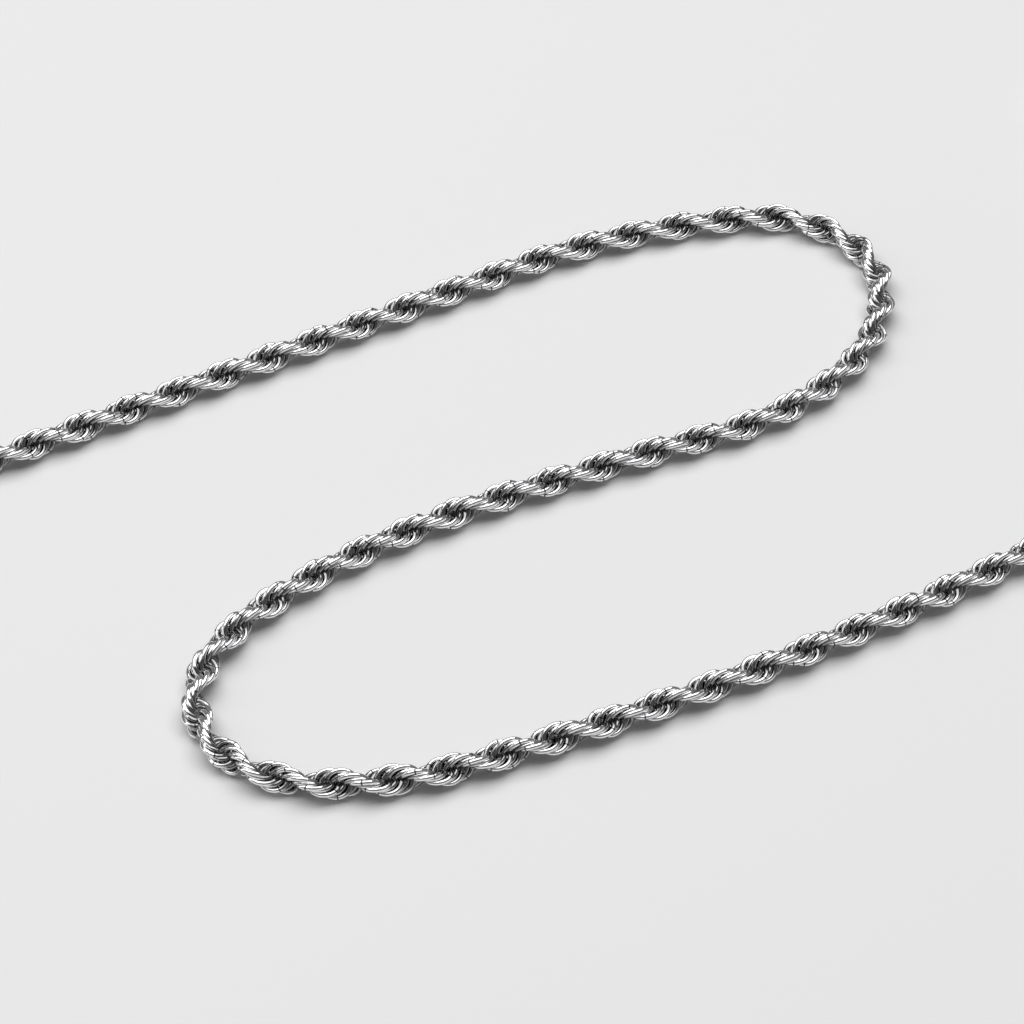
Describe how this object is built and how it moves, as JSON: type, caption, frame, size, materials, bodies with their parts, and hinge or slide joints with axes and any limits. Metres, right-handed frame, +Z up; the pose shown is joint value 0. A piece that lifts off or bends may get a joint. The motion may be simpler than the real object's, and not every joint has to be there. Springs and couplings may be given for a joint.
{
  "type": "rope chain necklace",
  "caption": "Twisted rope chain necklace in polished steel, laid open in a loose S, with soldered end caps, a jump ring, a lobster clasp and a catch ring.",
  "frame": {"origin": "on the surface that the necklace lies on, under the middle of its bounding box", "axes": "+Z up from the surface; +X to the right and +Y away from the viewer, who sees the loose S of the chain from above the near side"},
  "size_m": [0.1432, 0.1443, 0.0044],
  "materials": {
    "rope_links": "polished round wire, fine wear lines, dark between the links",
    "end_caps": "polished turned barrel, soldered",
    "rings": "polished round wire",
    "clasp_body": "polished casting with soft edges",
    "clasp_trigger": "polished pressed plate",
    "clasp_pin": "riveted ends, lightly brushed",
    "clasp_spring": "blued spring leaf"
  },
  "bodies": {
    "stretch_01": {"run_01": "rope_links", "catch_end_cap": "end_caps"},
    "stretch_02": {"run_02": "rope_links", "flex_01": "rope_links"},
    "stretch_03": {"run_03": "rope_links", "flex_02": "rope_links"},
    "stretch_04": {"run_04": "rope_links", "flex_03": "rope_links"},
    "stretch_05": {"run_05": "rope_links", "flex_04": "rope_links"},
    "stretch_06": {"run_06": "rope_links", "flex_05": "rope_links"},
    "stretch_07": {"run_07": "rope_links", "flex_06": "rope_links"},
    "stretch_08": {"run_08": "rope_links", "flex_07": "rope_links"},
    "stretch_09": {"run_09": "rope_links", "flex_08": "rope_links"},
    "stretch_10": {"run_10": "rope_links", "flex_09": "rope_links"},
    "stretch_11": {"run_11": "rope_links", "flex_10": "rope_links", "flex_11": "rope_links"},
    "stretch_12": {"run_12": "rope_links", "flex_12": "rope_links"},
    "stretch_13": {"run_13": "rope_links", "flex_13": "rope_links"},
    "stretch_14": {"run_14": "rope_links", "flex_14": "rope_links"},
    "stretch_15": {"run_15": "rope_links", "flex_15": "rope_links"},
    "stretch_16": {"run_16": "rope_links", "flex_16": "rope_links"},
    "stretch_17": {"run_17": "rope_links", "flex_17": "rope_links"},
    "stretch_18": {"run_18": "rope_links", "flex_18": "rope_links"},
    "stretch_19": {"run_19": "rope_links", "flex_19": "rope_links"},
    "stretch_20": {"run_20": "rope_links", "flex_20": "rope_links"},
    "stretch_21": {"run_21": "rope_links", "flex_21": "rope_links"},
    "stretch_22": {"run_22": "rope_links", "clasp_end_cap": "end_caps"},
    "jump_ring": {"clasp_jump_ring": "rings"},
    "clasp": {"clasp_body": "clasp_body", "clasp_pin": "clasp_pin", "clasp_spring": "clasp_spring"},
    "trigger": {"clasp_trigger": "clasp_trigger"},
    "catch_ring": {"catch_ring": "rings"}
  },
  "joints": [
    {"name": "bend_01", "type": "hinge", "parent": "stretch_02", "child": "stretch_01", "pos_m": [-0.06909, -0.04459, 0.0017], "axis": [-1, -0.0087, 0], "range_deg": [-25, 25], "deforming": ["flex_01"]},
    {"name": "bend_02", "type": "hinge", "parent": "stretch_03", "child": "stretch_02", "pos_m": [-0.06927, -0.02331, 0.0017], "axis": [0, 0, 1], "range_deg": [-25, 25], "deforming": ["flex_02"]},
    {"name": "bend_03", "type": "hinge", "parent": "stretch_04", "child": "stretch_03", "pos_m": [-0.06351, -0.00362, 0.0017], "axis": [0.6954, -0.7186, 0], "range_deg": [-25, 25], "deforming": ["flex_03"]},
    {"name": "bend_04", "type": "hinge", "parent": "stretch_05", "child": "stretch_04", "pos_m": [-0.04548, 0.00762, 0.0017], "axis": [0, 0, -1], "range_deg": [-25, 25], "deforming": ["flex_04"]},
    {"name": "bend_05", "type": "hinge", "parent": "stretch_06", "child": "stretch_05", "pos_m": [-0.02714, 0.01842, 0.0017], "axis": [-0.5075, 0.8616, 0], "range_deg": [-25, 25], "deforming": ["flex_05"]},
    {"name": "bend_06", "type": "hinge", "parent": "stretch_07", "child": "stretch_06", "pos_m": [-0.00881, 0.02922, 0.0017], "axis": [0, 0, 1], "range_deg": [-25, 25], "deforming": ["flex_06"]},
    {"name": "bend_07", "type": "hinge", "parent": "stretch_08", "child": "stretch_07", "pos_m": [0.00978, 0.03955, 0.0017], "axis": [0.3982, -0.9173, 0], "range_deg": [-25, 25], "deforming": ["flex_07"]},
    {"name": "bend_08", "type": "hinge", "parent": "stretch_09", "child": "stretch_08", "pos_m": [0.03028, 0.04492, 0.0017], "axis": [0, 0, -1], "range_deg": [-20, 25], "deforming": ["flex_08"]},
    {"name": "bend_09", "type": "hinge", "parent": "stretch_10", "child": "stretch_09", "pos_m": [0.04315, 0.03101, 0.0017], "axis": [0.9992, -0.0406, 0], "range_deg": [-25, 25], "deforming": ["flex_09"]},
    {"name": "bend_10", "type": "hinge", "parent": "stretch_11", "child": "stretch_10", "pos_m": [0.0336, 0.01269, 0.0017], "axis": [0, 0, 1], "range_deg": [-25, 25], "deforming": ["flex_10"]},
    {"name": "bend_11", "type": "hinge", "parent": "stretch_11", "child": "stretch_12", "pos_m": [0.01476, 0.00305, 0.0017], "axis": [0.3945, -0.9189, 0], "range_deg": [-25, 25], "deforming": ["flex_11"]},
    {"name": "bend_12", "type": "hinge", "parent": "stretch_12", "child": "stretch_13", "pos_m": [-0.00448, -0.00602, 0.0017], "axis": [0, 0, -1], "range_deg": [-25, 25], "deforming": ["flex_12"]},
    {"name": "bend_13", "type": "hinge", "parent": "stretch_13", "child": "stretch_14", "pos_m": [-0.02179, -0.0183, 0.0017], "axis": [-0.6871, 0.7266, 0], "range_deg": [-25, 25], "deforming": ["flex_13"]},
    {"name": "bend_14", "type": "hinge", "parent": "stretch_14", "child": "stretch_15", "pos_m": [-0.02957, -0.03687, 0.0017], "axis": [0, 0, 1], "range_deg": [-25, 19], "deforming": ["flex_14"]},
    {"name": "bend_15", "type": "hinge", "parent": "stretch_15", "child": "stretch_16", "pos_m": [-0.01205, -0.0454, 0.0017], "axis": [-0.1124, 0.9937, 0], "range_deg": [-25, 25], "deforming": ["flex_15"]},
    {"name": "bend_16", "type": "hinge", "parent": "stretch_16", "child": "stretch_17", "pos_m": [0.008, -0.03852, 0.0017], "axis": [0, 0, -1], "range_deg": [-18, 25], "deforming": ["flex_16"]},
    {"name": "bend_17", "type": "hinge", "parent": "stretch_17", "child": "stretch_18", "pos_m": [0.02714, -0.02923, 0.0017], "axis": [0.4689, -0.8832, 0], "range_deg": [-25, 25], "deforming": ["flex_17"]},
    {"name": "bend_18", "type": "hinge", "parent": "stretch_18", "child": "stretch_19", "pos_m": [0.04556, -0.01858, 0.0017], "axis": [0, 0, 1], "range_deg": [-25, 22], "deforming": ["flex_18"]},
    {"name": "bend_19", "type": "hinge", "parent": "stretch_19", "child": "stretch_20", "pos_m": [0.06312, -0.0066, 0.0017], "axis": [-0.7045, 0.7097, 0], "range_deg": [-25, 25], "deforming": ["flex_19"]},
    {"name": "bend_20", "type": "hinge", "parent": "stretch_20", "child": "stretch_21", "pos_m": [0.06901, 0.01308, 0.0017], "axis": [0, 0, -1], "range_deg": [-25, 25], "deforming": ["flex_20"]},
    {"name": "bend_21", "type": "hinge", "parent": "stretch_21", "child": "stretch_22", "pos_m": [0.06883, 0.03436, 0.0017], "axis": [1, 0.0087, 0], "range_deg": [-25, 25], "deforming": ["flex_21"]},
    {"name": "jump_ring_swing", "type": "hinge", "parent": "stretch_22", "child": "jump_ring", "pos_m": [0.06861, 0.05863, 0.0017], "axis": [1, 0.0087, 0], "range_deg": [-10, 35]},
    {"name": "clasp_swing", "type": "hinge", "parent": "jump_ring", "child": "clasp", "pos_m": [0.06884, 0.06095, 0.0017], "axis": [-0.4087, 0.2714, 0.8714], "range_deg": [-30, 30]},
    {"name": "trigger_press", "type": "hinge", "parent": "clasp", "child": "trigger", "pos_m": [0.06856, 0.06543, 0.0017], "axis": [0, 0, 1], "range_deg": [0, 25], "stiffness_Nm_per_rad": 0.001, "springref_deg": -11.46},
    {"name": "catch_ring_swing", "type": "hinge", "parent": "stretch_01", "child": "catch_ring", "pos_m": [-0.06889, -0.06706, 0.0012], "axis": [-1, -0.0087, 0], "range_deg": [0, 70]}
  ]
}
